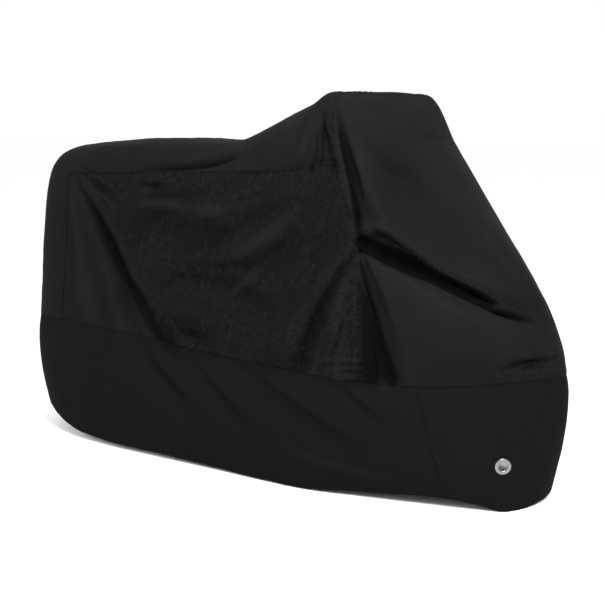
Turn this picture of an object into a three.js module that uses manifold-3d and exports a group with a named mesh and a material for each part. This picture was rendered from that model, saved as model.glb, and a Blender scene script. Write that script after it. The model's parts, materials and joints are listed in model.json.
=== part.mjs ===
import * as THREE from 'three';
import { mergeVertices } from 'three/addons/utils/BufferGeometryUtils.js';
import Module from 'manifold-3d';

// A fitted cover for a motorcycle, standing as it does over the machine and open underneath.
// Millimetres, +Z up, +X towards the front wheel, the right side of the machine at -Y.
// The origin is on the ground under the middle of the cover.
//
// The cover is laid out as ribs. A rib runs from the crown line, in the middle of the top, down
// one side to the hem. Each row below is one rib, from the tail to the nose, and each column is a
// line that runs round the cover. A point is given as [along X, out from the middle, height].

const CLOTH = 2; // thickness of the sheet
const AHEAD = 14; // places along X are measured from this far behind the middle of the cover
const SEAM_GAP = 0.7; // neighbouring panels stay this far apart at a seam
const SAME_POINT = 1e-3; // corners nearer than this are one point

const LINES = ['crown', 'slope', 'shoulder', 'rim', 'waist', 'belly', 'belt', 'hem'];
const RIBS = [
  { at: 'tail middle', crown: [-868, 0, 1060], slope: [-908, 0, 1044], shoulder: [-942, 0, 1018], rim: [-962, 0, 962], waist: [-1004, 0, 740], belly: [-1015, 0, 560], belt: [-1020, 0, 432], hem: [-994, 0, 122] },
  { at: 'tail quarter', crown: [-832, 0, 1069], slope: [-862, 52, 1060], shoulder: [-888, 98, 1034], rim: [-906, 142, 968], waist: [-936, 160, 740], belly: [-942, 172, 570], belt: [-945, 182, 436], hem: [-926, 172, 104] },
  { at: 'tail corner', crown: [-740, 0, 1083], slope: [-744, 76, 1075], shoulder: [-748, 132, 1052], rim: [-758, 200, 975], waist: [-763, 224, 740], belly: [-765, 242, 590], belt: [-766, 258, 443], hem: [-757, 252, 43] },
  { at: 'saddle back', crown: [-560, 0, 1097], slope: [-560, 86, 1089], shoulder: [-560, 145, 1066], rim: [-560, 210, 981], waist: [-555, 240, 740], belly: [-553, 262, 590], belt: [-550, 285, 438], hem: [-550, 286, 22] },
  { at: 'saddle', crown: [-320, 0, 1103], slope: [-320, 95, 1097], shoulder: [-320, 158, 1076], rim: [-320, 230, 988], waist: [-315, 268, 740], belly: [-312, 290, 590], belt: [-310, 308, 424], hem: [-310, 302, 20] },
  { at: 'saddle front', crown: [-70, 0, 1105], slope: [-68, 92, 1103], shoulder: [-65, 152, 1092], rim: [-80, 262, 1000], waist: [-75, 296, 750], belly: [-72, 314, 590], belt: [-70, 326, 408], hem: [-70, 310, 13] },
  { at: 'knee', crown: [125, 0, 1177], slope: [124, 100, 1174], shoulder: [122, 168, 1160], rim: [130, 290, 1010], waist: [160, 326, 765], belly: [155, 336, 580], belt: [140, 338, 398], hem: [140, 322, 8] },
  { at: 'behind the bar', crown: [290, 0, 1228], slope: [290, 170, 1225], shoulder: [290, 264, 1206], rim: [305, 325, 1024], waist: [360, 346, 790], belly: [350, 350, 585], belt: [335, 348, 391], hem: [320, 326, 8] },
  { at: 'front seam', crown: [420, 0, 1255], slope: [420, 222, 1255], shoulder: [420, 320, 1243], rim: [434, 338, 1034], waist: [518, 355, 813], belly: [516, 356, 590], belt: [512, 348, 384], hem: [480, 306, 20] },
  { at: 'front flank', crown: [545, 0, 1112], slope: [558, 125, 1084], shoulder: [572, 215, 1016], rim: [590, 328, 885], waist: [622, 338, 770], belly: [655, 340, 570], belt: [694, 302, 382], hem: [776, 256, 35] },
  { at: 'front wheel', crown: [700, 0, 930], slope: [718, 95, 903], shoulder: [735, 165, 845], rim: [752, 252, 745], waist: [775, 268, 690], belly: [812, 276, 540], belt: [836, 236, 389], hem: [872, 224, 22] },
  { at: 'nose quarter', crown: [850, 0, 755], slope: [866, 50, 737], shoulder: [880, 90, 706], rim: [895, 134, 658], waist: [918, 146, 622], belly: [955, 158, 510], belt: [960, 150, 400], hem: [950, 178, 0] },
  { at: 'nose middle', crown: [968, 0, 615], slope: [977, 0, 603], shoulder: [985, 0, 590], rim: [996, 0, 567], waist: [1006, 0, 544], belly: [1036, 0, 470], belt: [1052, 0, 400], hem: [1018, 0, 20] },
];
// On the left the hood is drawn straight from the handlebar to the nose, with no deep fold.
const LEFT_RIBS = {
  'front seam': { slope: [424, 236, 1252], shoulder: [428, 329, 1241], rim: [456, 346, 1045] },
  'front flank': { slope: [545, 200, 1106], shoulder: [536, 304, 1091], rim: [578, 336, 965], waist: [625, 338, 780] },
  'front wheel': { slope: [714, 145, 903], shoulder: [726, 229, 856], rim: [762, 262, 765], waist: [790, 270, 680] },
  'nose quarter': { slope: [862, 55, 744], shoulder: [870, 97, 728], rim: [893, 160, 655], waist: [918, 170, 600], hem: [932, 144, 22] },
};
const TAIL_CORNER = 2;
const FRONT_SEAM = 8;
const FRONT_STRIP = 9;
const RIM = 3;
const BELT = 6;

// Steps of the mesh between one rib and the next, and between one line and the next.
const RIB_STEPS = [4, 4, 5, 6, 6, 5, 5, 5, 5, 5, 5, 5];
const LINE_STEPS = [2, 2, 3, 6, 5, 4, 6];

const last = RIBS.length - 1;

// The folds. A path is given as [along X, out from the middle, height] on the side that it names.
// Depth is a number for each point of the path, outward when positive. The widths are those to the
// left and to the right of the path, seen from outside, at its start and at its end.
const FOLDS = [
  { name: 'deep fold from the pinch to the nose', side: 'right', depth: [-14, -40, -50, -52, -46, -34, -6], left: [18, 50], right: [25, 110],
    path: [[518, 355, 813], [603, 340, 781], [675, 320, 758], [738, 280, 728], [813, 230, 690], [885, 160, 650], [955, 55, 604]] },
  { name: 'groove in front of the handlebar', side: 'right', depth: [0, -10, -18, -14], left: [14, 50], right: [14, 40],
    path: [[428, 335, 1200], [480, 340, 1058], [520, 345, 959], [540, 345, 890]] },
  { name: 'groove behind the handlebar', side: 'right', depth: [0, -16, -14, 0], left: [12, 40], right: [16, 50],
    path: [[372, 330, 1205], [393, 335, 1115], [420, 340, 1038], [440, 340, 990]] },
  { name: 'crease down from the pinch', side: 'right', depth: [-10, -16, -16, -12], left: [16, 50], right: [16, 50],
    path: [[526, 355, 790], [579, 355, 661], [611, 350, 557], [632, 340, 400]] },
  { name: 'trough back from the pinch', side: 'right', depth: [-6, -12, -14], left: [20, 60], right: [20, 70],
    path: [[505, 352, 790], [404, 350, 630], [314, 350, 431]] },
  { name: 'rise below the pinch', side: 'right', depth: [0, 9, 12], left: [20, 60], right: [20, 60],
    path: [[500, 352, 740], [455, 355, 600], [450, 350, 410]] },
  { name: 'tail fan trough', side: 'right', depth: [0, -10, -16, -22, -20], left: [14, 110], right: [10, 60],
    path: [[-730, 203, 968], [-628, 220, 830], [-549, 235, 710], [-472, 250, 575], [-363, 285, 411]] },
  { name: 'tail fan cone', side: 'right', depth: [0, 8, 14, 16], left: [10, 60], right: [10, 90],
    path: [[-740, 203, 965], [-700, 220, 800], [-650, 240, 620], [-570, 275, 420]] },
  { name: 'short fold beside the tail', side: 'right', depth: [0, -8, 0], left: [12, 26], right: [12, 30],
    path: [[-690, 205, 978], [-610, 214, 940], [-500, 224, 890]] },
  { name: 'rise under the saddle seam', side: 'right', depth: [0, 8, 9, 0], left: [40, 60], right: [50, 70],
    path: [[-430, 245, 885], [-250, 265, 875], [-60, 280, 880], [60, 295, 890]] },
  { name: 'slanting rise on the side', side: 'right', depth: [0, 10, 12, 0], left: [60, 60], right: [60, 60],
    path: [[-90, 300, 720], [60, 320, 780], [220, 335, 850], [310, 340, 900]] },
  { name: 'trough across the side', side: 'right', depth: [0, -9, -10, 0], left: [60, 70], right: [60, 70],
    path: [[-340, 285, 640], [-120, 305, 660], [80, 325, 630], [230, 345, 560]] },
  { name: 'first slanting crease of the skirt', side: 'right', depth: [0, -9, -9, 0], left: [35, 45], right: [35, 45],
    path: [[-422, 300, 400], [-300, 315, 330], [-180, 325, 230], [-90, 325, 140]] },
  { name: 'second slanting crease of the skirt', side: 'right', depth: [0, -9, -9, 0], left: [35, 45], right: [35, 45],
    path: [[-187, 325, 410], [-60, 335, 300], [60, 335, 200], [180, 330, 120]] },
  { name: 'long crease of the skirt', side: 'right', depth: [0, -10, -10, 0], left: [35, 50], right: [35, 50],
    path: [[60, 345, 385], [220, 350, 290], [400, 345, 200], [560, 320, 130]] },
  { name: 'short crease of the skirt', side: 'right', depth: [0, -8, 0], left: [30, 40], right: [30, 40],
    path: [[422, 350, 375], [540, 340, 290], [650, 315, 210]] },
  { name: 'low ridge of the skirt', side: 'right', depth: [0, 8, 9, 0], left: [26, 30], right: [26, 30],
    path: [[200, 335, 145], [330, 335, 112], [480, 320, 85], [640, 290, 55]] },
  { name: 'left tail fan', side: 'left', depth: [0, -10, -18, -16], left: [14, 60], right: [14, 90],
    path: [[-726, 203, 966], [-610, 224, 800], [-520, 245, 610], [-430, 285, 420]] },
  { name: 'left fold under the handlebar', side: 'left', depth: [0, -14, -22, -10], left: [14, 60], right: [14, 60],
    path: [[420, 334, 1180], [470, 342, 1000], [560, 345, 800], [600, 340, 600]] },
  { name: 'left fold back from the handlebar', side: 'left', depth: [0, -12, -16, 0], left: [14, 60], right: [14, 70],
    path: [[380, 332, 1180], [300, 330, 950], [180, 325, 740], [40, 322, 560]] },
  { name: 'left rise on the side', side: 'left', depth: [0, 10, 10, 0], left: [60, 70], right: [60, 70],
    path: [[-400, 262, 830], [-200, 285, 790], [20, 310, 800], [180, 325, 840]] },
  { name: 'left fold at the nose', side: 'left', depth: [0, -16, -20, 0], left: [20, 60], right: [20, 90],
    path: [[660, 330, 740], [760, 275, 680], [850, 220, 610], [930, 150, 560]] },
  { name: 'left skirt crease by the wheel', side: 'left', depth: [0, -10, -10, 0], left: [40, 50], right: [40, 50],
    path: [[500, 345, 370], [360, 350, 280], [200, 345, 190], [60, 330, 120]] },
  { name: 'left skirt crease by the tail', side: 'left', depth: [0, -9, -9, 0], left: [40, 50], right: [40, 50],
    path: [[-260, 320, 400], [-380, 310, 300], [-500, 300, 200], [-600, 285, 120]] },
];

// The metal eyelets, one on each side of the front skirt.
const EYELET_PLACE = [938, 200, 146];
const EYELET_OUTER = 25; // radius of its flanges
const EYELET_HOLE = 13.5; // radius of the way through
const EYELET_WALL = 1.2; // thickness of its barrel
const EYELET_FLANGE = 1.6; // thickness of each flange
const EYELET_CLEAR = 0.3; // the cloth lies this far from the metal
const EYELET_SIDES = 28;
const FLAT_REACH = 80; // the cloth is flat this far from the middle of an eyelet
const FLAT_FADE = 130; // and has its own shape again from here on

const acrossSide = RIB_STEPS.reduce((sum, steps) => sum + steps, 0);

/** A place on one side of the cover. */
function spot([along, out, height], side) {
  return new THREE.Vector3(along - AHEAD, side === 'right' ? -out : out, height);
}

/** The ribs of both sides as one ring: right side forward, then left side back to the tail. */
function ringCurve(line) {
  const right = RIBS.map((rib) => spot(rib[line], 'right'));
  const left = RIBS.slice(1, last).reverse()
    .map((rib) => spot(LEFT_RIBS[rib.at]?.[line] ?? rib[line], 'left'));
  return new THREE.CatmullRomCurve3([...right, ...left], true, 'centripetal');
}

const rings = LINES.map(ringCurve);

/** One arch over the cover, hem to hem, at a place along the ribs. */
function archCurve(place) {
  const turn = 2 * last;
  const near = rings.map((ring) => ring.getPoint(place / turn));
  const far = rings.slice(1).map((ring) => ring.getPoint(((turn - place) % turn) / turn)).reverse();
  return new THREE.CatmullRomCurve3([...far, ...near], false, 'centripetal');
}

function stepPlaces(steps) {
  const places = [0];
  steps.forEach((count, at) => {
    for (let step = 1; step <= count; step++) places.push(at + step / count);
  });
  return places;
}

const ribPlaces = stepPlaces(RIB_STEPS);
const linePlaces = stepPlaces(LINE_STEPS);
const rows = linePlaces.length;
const around = 2 * acrossSide;
const arches = LINES.length - 1;

/** Index of a mesh point. The two sides share the points of the crown line. */
function pointId(column, row) {
  const wrapped = (column + around) % around;
  if (row === 0 && wrapped > acrossSide) return (around - wrapped) * rows;
  return wrapped * rows + row;
}

function draw() {
  const points = new Array(around * rows);
  for (let column = 0; column <= acrossSide; column++) {
    const arch = archCurve(ribPlaces[column]);
    for (let row = 0; row < rows; row++) {
      const share = linePlaces[row] / arches;
      points[pointId(column, row)] = arch.getPoint((1 + share) / 2);
      points[pointId(around - column, row)] = arch.getPoint((1 - share) / 2);
    }
  }
  return points;
}

/** The rib or line that a place has reached, and not the one before it where it is a hair short. */
function reached(place) {
  const hair = 1e-6;
  return Math.floor(place + hair);
}

const cells = [];
for (let column = 0; column < around; column++) {
  for (let row = 0; row < rows - 1; row++) {
    const onRight = column < acrossSide;
    const place = onRight ? column : around - 1 - column;
    cells.push({
      corners: [[column, row], [column, row + 1], [column + 1, row + 1], [column + 1, row]]
        .map(([c, r]) => pointId(c, r)),
      side: onRight ? 'right' : 'left',
      rib: reached(ribPlaces[place]),
      line: reached(linePlaces[row]),
    });
  }
}

function pointNormals(points) {
  const normals = points.map(() => new THREE.Vector3());
  for (const { corners } of cells) {
    const [a, b, c, d] = corners.map((id) => points[id]);
    const facing = new THREE.Vector3().subVectors(c, a).cross(new THREE.Vector3().subVectors(d, b));
    corners.forEach((id) => normals[id].add(facing));
  }
  return normals.map((normal) => normal.normalize());
}

/** A value read from a short list at a share of the way along it. */
function readAlong(list, share) {
  const place = Math.min(Math.max(share, 0), 1) * (list.length - 1);
  const from = Math.min(Math.floor(place), list.length - 2);
  return THREE.MathUtils.lerp(list[from], list[from + 1], place - from);
}

const FOLD_STEPS = 32; // steps in which the nearest place on a fold is looked for
const FOLD_ROUND = 0.5; // how round a fold is: 0 has straight sides and a sharp bottom, 1 is a swell
const OTHER_SIDE = 1; // a fold stops this far past the middle of the cover

const foldPaths = FOLDS.map((fold) => {
  const curve = new THREE.CatmullRomCurve3(fold.path.map((place) => spot(place, fold.side)), false, 'centripetal');
  return { ...fold, steps: curve.getPoints(FOLD_STEPS) };
});

/** How far a fold moves a point of the cloth along its normal. */
function foldMove(fold, point, normal) {
  if (fold.side === 'right' ? point.y > OTHER_SIDE : point.y < -OTHER_SIDE) return 0;
  let best = { gap: Infinity };
  for (let step = 0; step < FOLD_STEPS; step++) {
    const run = new THREE.Line3(fold.steps[step], fold.steps[step + 1]);
    const part = run.closestPointToPointParameter(point, true);
    const away = new THREE.Vector3().subVectors(point, run.at(part, new THREE.Vector3()));
    away.addScaledVector(normal, -away.dot(normal));
    if (away.length() < best.gap) {
      const along = run.delta(new THREE.Vector3());
      const onLeft = away.dot(new THREE.Vector3().crossVectors(normal, along)) > 0;
      best = { gap: away.length(), share: (step + part) / FOLD_STEPS, onLeft };
    }
  }
  const width = readAlong(best.onLeft ? fold.left : fold.right, best.share);
  const near = 1 - Math.min(best.gap / width, 1);
  const swell = THREE.MathUtils.smoothstep(near, 0, 1);
  return readAlong(fold.depth, best.share) * THREE.MathUtils.lerp(near, swell, FOLD_ROUND);
}

const SKIRT_BELLY = 16; // the skirt swells outwards by this much half way down

function fold(points) {
  const normals = pointNormals(points);
  return points.map((point, id) => {
    const moved = foldPaths.reduce((sum, path) => sum + foldMove(path, point, normals[id]), 0);
    const down = THREE.MathUtils.clamp(linePlaces[id % rows] - BELT, 0, 1);
    const belly = 4 * down * (1 - down) * SKIRT_BELLY;
    return point.clone().addScaledVector(normals[id], moved + belly);
  });
}

/** Where an eyelet sits on the cloth, and the way it faces. */
function eyeletSeat(side, points) {
  const place = spot(EYELET_PLACE, side);
  const facing = new THREE.Vector3();
  const middle = new THREE.Vector3();
  const normals = pointNormals(points);
  let weights = 0;
  points.forEach((point, id) => {
    const near = Math.max(0, 1 - point.distanceTo(place) / FLAT_REACH);
    facing.addScaledVector(normals[id], near);
    middle.addScaledVector(point, near);
    weights += near;
  });
  facing.normalize();
  middle.divideScalar(weights);
  place.addScaledVector(facing, middle.sub(place).dot(facing));
  return { side, place, facing };
}

/** Draws the cloth flat round an eyelet. */
function flatten(points, { place, facing }) {
  points.forEach((point) => {
    const reach = point.distanceTo(place);
    const flat = 1 - THREE.MathUtils.smoothstep(reach, FLAT_REACH, FLAT_FADE);
    const proud = new THREE.Vector3().subVectors(point, place).dot(facing);
    point.addScaledVector(facing, -proud * flat);
  });
}

const points = fold(draw());
const seats = ['right', 'left'].map((side) => eyeletSeat(side, points));
seats.forEach((seat) => flatten(points, seat));
const normals = pointNormals(points);

/** A panel is the cells that it takes, given the thickness of the cloth inwards. */
function panelGeometry(takes) {
  const taken = cells.filter(takes);
  const edges = new Map();
  for (const { corners } of taken) {
    corners.forEach((id, at) => edges.set(`${id},${corners[(at + 1) % 4]}`, [id, corners[(at + 1) % 4], corners]));
  }
  const border = [...edges.values()].filter(([from, to]) => !edges.has(`${to},${from}`));
  const inward = new Map();
  for (const [from, to, corners] of border) {
    const middle = corners.reduce((sum, id) => sum.add(points[id]), new THREE.Vector3()).divideScalar(4);
    const along = new THREE.Vector3().subVectors(points[to], points[from]).normalize();
    const into = middle.sub(points[from]);
    into.addScaledVector(along, -into.dot(along)).normalize();
    for (const id of [from, to]) inward.set(id, (inward.get(id) ?? new THREE.Vector3()).add(into));
  }
  const outside = (id) => {
    const place = points[id].clone();
    if (inward.has(id)) {
      const pull = inward.get(id).clone();
      place.addScaledVector(pull.normalize(), SEAM_GAP / 2);
    }
    return place;
  };
  const inside = (id) => outside(id).addScaledVector(normals[id], -CLOTH);
  const triangles = [];
  for (const { corners } of taken) {
    const [a, b, c, d] = corners;
    const short = points[a].distanceTo(points[c]) <= points[b].distanceTo(points[d]);
    const halves = short ? [[a, b, c], [a, c, d]] : [[a, b, d], [b, c, d]];
    for (const half of halves) {
      triangles.push(half.map(outside), half.map(inside).reverse());
    }
  }
  for (const [from, to] of border) {
    triangles.push([outside(from), inside(from), inside(to)], [outside(from), inside(to), outside(to)]);
  }
  const geometry = new THREE.BufferGeometry();
  const numbers = triangles.flat().flatMap((corner) => corner.toArray());
  geometry.setAttribute('position', new THREE.Float32BufferAttribute(numbers, 3));
  return mergeVertices(geometry, SAME_POINT);
}

const COATED_CLOTH = { color: 0x242424, roughness: 0.5, metalness: 0 };
const SKIRT_CLOTH = { color: 0x191919, roughness: 0.7, metalness: 0 };
const EYELET_METAL = { color: 0xb9bcc0, roughness: 0.25, metalness: 1 };

const panels = {
  top_panel: ({ rib, line }) => (rib < TAIL_CORNER ? line < BELT : rib < FRONT_SEAM && line < RIM),
  front_hood: ({ rib, line }) => rib >= FRONT_SEAM && line < BELT,
  side_panel_right: ({ side, rib, line }) => side === 'right' && rib >= TAIL_CORNER && rib < FRONT_SEAM && line >= RIM && line < BELT,
  side_panel_left: ({ side, rib, line }) => side === 'left' && rib >= TAIL_CORNER && rib < FRONT_SEAM && line >= RIM && line < BELT,
  skirt_front: ({ rib, line }) => rib >= FRONT_STRIP && line >= BELT,
  skirt_right: ({ side, rib, line }) => side === 'right' && rib < FRONT_STRIP && line >= BELT,
  skirt_left: ({ side, rib, line }) => side === 'left' && rib < FRONT_STRIP && line >= BELT,
};

const wasm = await Module();
wasm.setup();

function toSolid(geometry) {
  return new wasm.Manifold(new wasm.Mesh({
    numProp: 3,
    vertProperties: new Float32Array(geometry.attributes.position.array),
    triVerts: new Uint32Array(geometry.index.array),
  }));
}

function fromSolid(solid) {
  const { numProp, vertProperties, triVerts } = solid.getMesh();
  const geometry = new THREE.BufferGeometry();
  geometry.setAttribute('position', new THREE.Float32BufferAttribute(vertProperties, numProp));
  geometry.setIndex(new THREE.Uint32BufferAttribute(triVerts, 1));
  return geometry;
}

/** Turns a shape made round the Y axis so that it stands on its seat, Y pointing out. */
function toSeat(geometry, { place, facing }) {
  const turn = new THREE.Quaternion().setFromUnitVectors(new THREE.Vector3(0, 1, 0), facing);
  return geometry.applyQuaternion(turn).translate(place.x, place.y, place.z);
}

function bare(geometry) {
  geometry.deleteAttribute('normal');
  geometry.deleteAttribute('uv');
  return mergeVertices(geometry, SAME_POINT);
}

const barrelOuter = EYELET_HOLE + EYELET_WALL;
const PUNCH_LENGTH = 20; // long enough to go through the cloth

/** The round hole that is punched in the cloth for an eyelet. */
function eyeletPunch(seat) {
  const radius = barrelOuter + EYELET_CLEAR;
  return toSolid(toSeat(bare(new THREE.CylinderGeometry(radius, radius, PUNCH_LENGTH, EYELET_SIDES)), seat));
}

/** A barrel through the cloth with a flange on each face of it. */
function eyeletGeometry(seat) {
  const front = EYELET_CLEAR;
  const back = -CLOTH - EYELET_CLEAR;
  const edge = EYELET_FLANGE / 2;
  const profile = [
    [EYELET_HOLE, back - EYELET_FLANGE], [EYELET_OUTER - edge, back - EYELET_FLANGE],
    [EYELET_OUTER, back - edge], [EYELET_OUTER, back], [barrelOuter, back],
    [barrelOuter, front], [EYELET_OUTER, front], [EYELET_OUTER, front + edge],
    [EYELET_OUTER - edge, front + EYELET_FLANGE], [EYELET_HOLE, front + EYELET_FLANGE],
    [EYELET_HOLE, back - EYELET_FLANGE],
  ].map(([radius, height]) => new THREE.Vector2(radius, height));
  return toSeat(bare(new THREE.LatheGeometry(profile, EYELET_SIDES)), seat);
}

const cover = new THREE.Group();

function addPiece(name, geometry, finish) {
  const mesh = new THREE.Mesh(geometry, new THREE.MeshStandardMaterial(finish));
  mesh.name = name;
  cover.add(mesh);
}

for (const [name, takes] of Object.entries(panels)) {
  let geometry = panelGeometry(takes);
  if (name === 'skirt_front') {
    geometry = fromSolid(seats.reduce((cloth, seat) => cloth.subtract(eyeletPunch(seat)), toSolid(geometry)));
  }
  addPiece(name, geometry, name.startsWith('skirt') ? SKIRT_CLOTH : COATED_CLOTH);
}
for (const seat of seats) addPiece(`eyelet_${seat.side}`, eyeletGeometry(seat), EYELET_METAL);

export default cover;
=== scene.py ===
import json
import math

import bmesh
import bpy
import numpy as np
from mathutils import Matrix, Vector


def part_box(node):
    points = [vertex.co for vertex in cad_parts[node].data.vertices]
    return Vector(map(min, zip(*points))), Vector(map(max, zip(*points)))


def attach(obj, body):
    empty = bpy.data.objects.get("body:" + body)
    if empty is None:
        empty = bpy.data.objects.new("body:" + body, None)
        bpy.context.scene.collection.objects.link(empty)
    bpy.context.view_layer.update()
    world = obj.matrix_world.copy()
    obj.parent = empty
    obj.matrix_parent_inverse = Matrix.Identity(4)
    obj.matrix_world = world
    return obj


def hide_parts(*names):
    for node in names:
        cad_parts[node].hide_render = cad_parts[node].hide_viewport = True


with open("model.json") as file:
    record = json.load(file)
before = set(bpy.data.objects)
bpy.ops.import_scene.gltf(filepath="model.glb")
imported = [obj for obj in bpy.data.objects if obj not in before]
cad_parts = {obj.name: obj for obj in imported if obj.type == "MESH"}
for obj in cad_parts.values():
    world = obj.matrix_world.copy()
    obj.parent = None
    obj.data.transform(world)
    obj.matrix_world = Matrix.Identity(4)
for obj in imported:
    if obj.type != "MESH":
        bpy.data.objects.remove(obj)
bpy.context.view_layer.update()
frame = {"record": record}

# The camera stands four metres off at the front right corner, a little above the saddle, and looks
# slightly down. The lens gives the photograph's frame of 605 by 605.
view_turn, view_rise, view_distance = math.radians(31.3), math.radians(9.7), 4.0
view_middle = Vector((0.096, 0.0, 0.545))
back = Vector((
    math.sin(view_turn) * math.cos(view_rise),
    -math.cos(view_turn) * math.cos(view_rise),
    math.sin(view_rise),
))


def stand(name, data):
    """An object of the scene that shows this mesh, lamp or camera."""
    made = bpy.data.objects.new(name, data)
    bpy.context.collection.objects.link(made)
    return made


camera = stand("camera", bpy.data.cameras.new("camera"))
camera.location = view_middle + back * view_distance
camera.rotation_euler = back.to_track_quat("Z", "Y").to_euler()
camera.data.sensor_width = 36
camera.data.lens = 68.73
camera.data.dof.use_dof = False
bpy.context.scene.camera = camera

# The floor is a wide pale sheet under white surroundings, lit by a large soft box on the left
# and another in front, as in a plain studio.
floor_mesh = bpy.data.meshes.new("floor")
bm = bmesh.new()
bmesh.ops.create_grid(bm, x_segments=1, y_segments=1, size=30)
bm.to_mesh(floor_mesh)
bm.free()
floor = stand("floor", floor_mesh)
pale = bpy.data.materials.new("pale floor")
pale.use_nodes = True
shader = pale.node_tree.nodes["Principled BSDF"]
shader.inputs["Base Color"].default_value = (0.97, 0.97, 0.97, 1)
shader.inputs["Roughness"].default_value = 0.9
floor_mesh.materials.append(pale)

surroundings = bpy.data.worlds.new("white surroundings")
bpy.context.scene.world = surroundings
surroundings.use_nodes = True
shader = surroundings.node_tree.nodes["Background"]
shader.inputs["Color"].default_value = (1, 1, 1, 1)
shader.inputs["Strength"].default_value = 1.02
bpy.context.scene.view_settings.view_transform = "Standard"


def soft_box(name, place, aim, wide, high, power):
    """A rectangular studio lamp that faces the place it is aimed at."""
    lamp = bpy.data.lights.new(name, "AREA")
    lamp.shape = "RECTANGLE"
    lamp.size, lamp.size_y, lamp.energy = wide, high, power
    holder = stand(name, lamp)
    holder.location = place
    holder.rotation_euler = (Vector(place) - Vector(aim)).to_track_quat("Z", "Y").to_euler()


soft_box("soft box on the left", (-2.6, -3.2, 2.4), (0.0, 0.0, 0.6), 2.2, 1.8, 100)
soft_box("soft box in front", (2.9, -2.3, 3.4), (0.0, 0.0, 0.6), 1.5, 1.5, 310)

# The fitted cover is cut and sewn from black polyester in seven panels, which lie on one surface. It
# is drawn in ribs, from the tail to the nose. A rib gives eight places from the crown line down to
# the hem, in millimetres along the cover, out from the middle and up from the ground.
MM = 0.001
AHEAD = 14  # places along the cover are measured from this far behind its middle
RIBS = {
    "tail middle": [
        (-868, 0, 1060), (-908, 0, 1044), (-942, 0, 1018), (-962, 0, 962),
        (-1004, 0, 740), (-1015, 0, 560), (-1020, 0, 432), (-994, 0, 122)],
    "tail quarter": [
        (-832, 0, 1069), (-862, 52, 1060), (-888, 98, 1034), (-906, 142, 968),
        (-936, 160, 740), (-942, 172, 570), (-945, 182, 436), (-926, 172, 104)],
    "tail corner": [
        (-740, 0, 1083), (-744, 76, 1075), (-748, 132, 1052), (-758, 200, 975),
        (-763, 224, 740), (-765, 242, 590), (-766, 258, 443), (-757, 252, 43)],
    "saddle back": [
        (-560, 0, 1097), (-560, 86, 1089), (-560, 145, 1066), (-560, 210, 981),
        (-555, 240, 740), (-553, 262, 590), (-550, 285, 438), (-550, 286, 22)],
    "saddle": [
        (-320, 0, 1103), (-320, 95, 1097), (-320, 158, 1076), (-320, 230, 988),
        (-315, 268, 740), (-312, 290, 590), (-310, 308, 424), (-310, 302, 20)],
    "saddle front": [
        (-70, 0, 1105), (-68, 92, 1103), (-65, 152, 1092), (-80, 262, 1000),
        (-75, 296, 750), (-72, 314, 590), (-70, 326, 408), (-70, 310, 13)],
    "knee": [
        (125, 0, 1177), (124, 100, 1174), (122, 168, 1160), (130, 290, 1010),
        (160, 326, 765), (155, 336, 580), (140, 338, 398), (140, 322, 8)],
    "behind the ridge": [
        (290, 0, 1228), (290, 170, 1225), (290, 264, 1206), (305, 325, 1024),
        (360, 346, 790), (350, 350, 585), (335, 348, 391), (320, 326, 8)],
    "front seam": [
        (420, 0, 1255), (420, 222, 1255), (420, 320, 1243), (434, 338, 1034),
        (518, 355, 813), (516, 356, 590), (512, 348, 384), (480, 306, 20)],
    "front flank": [
        (545, 0, 1112), (558, 125, 1084), (572, 215, 1016), (590, 328, 885),
        (622, 338, 770), (655, 340, 570), (694, 302, 382), (776, 256, 35)],
    "nose flank": [
        (700, 0, 930), (718, 95, 903), (735, 165, 845), (752, 252, 745),
        (775, 268, 690), (812, 276, 540), (836, 236, 389), (872, 224, 22)],
    "nose quarter": [
        (850, 0, 755), (866, 50, 737), (880, 90, 706), (895, 134, 658),
        (918, 146, 622), (955, 158, 510), (960, 150, 400), (950, 178, 0)],
    "nose middle": [
        (968, 0, 615), (977, 0, 603), (985, 0, 590), (996, 0, 567),
        (1006, 0, 544), (1036, 0, 470), (1052, 0, 400), (1018, 0, 20)],
}
CROWN, SLOPE, SHOULDER, RIM, WAIST, BELLY, BELT, HEM = range(8)
# The hood is drawn straight on the left, with no deep fold, so these places differ there.
LEFT = {
    "front seam": {SLOPE: (424, 236, 1252), SHOULDER: (428, 329, 1241), RIM: (456, 346, 1045)},
    "front flank": {
        SLOPE: (545, 200, 1106), SHOULDER: (536, 304, 1091), RIM: (578, 336, 965),
        WAIST: (625, 338, 780)},
    "nose flank": {
        SLOPE: (714, 145, 903), SHOULDER: (726, 229, 856), RIM: (762, 262, 765),
        WAIST: (790, 270, 680)},
    "nose quarter": {
        SLOPE: (862, 55, 744), SHOULDER: (870, 97, 728), RIM: (893, 160, 655),
        WAIST: (918, 170, 600), HEM: (932, 144, 22)},
}
TAIL_CORNER, FRONT_SEAM, FRONT_STRIP, NOSE = 2, 8, 9, 12

# Threads of the drawing between one rib and the next, and between one line and the next, about
# 6 mm apart. They lie closer on both sides of a seam.
RIB_THREADS = [34, 34, 36, 40, 40, 35, 33, 30, 32, 27, 26, 30]
LINE_THREADS = [16, 11, 20, 40, 28, 30, 62]
SEAM_RIBS, SEAM_LINES, CROWDING = (TAIL_CORNER, FRONT_SEAM, FRONT_STRIP), (RIM, BELT), 0.55


def thread_places(threads, seams):
    """The place of each thread, where 2.5 lies halfway between the second rib or line and the third."""
    places = [np.zeros(1)]
    for start, count in enumerate(threads):
        share = np.arange(1, count + 1) / count
        if start in seams and start + 1 in seams:
            share = share - CROWDING * np.sin(2 * np.pi * share) / (2 * np.pi)
        elif start in seams:
            share = share + CROWDING * (share * share - share)
        elif start + 1 in seams:
            share = share - CROWDING * (share * share - share)
        places.append(start + share)
    return np.concatenate(places)


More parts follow.
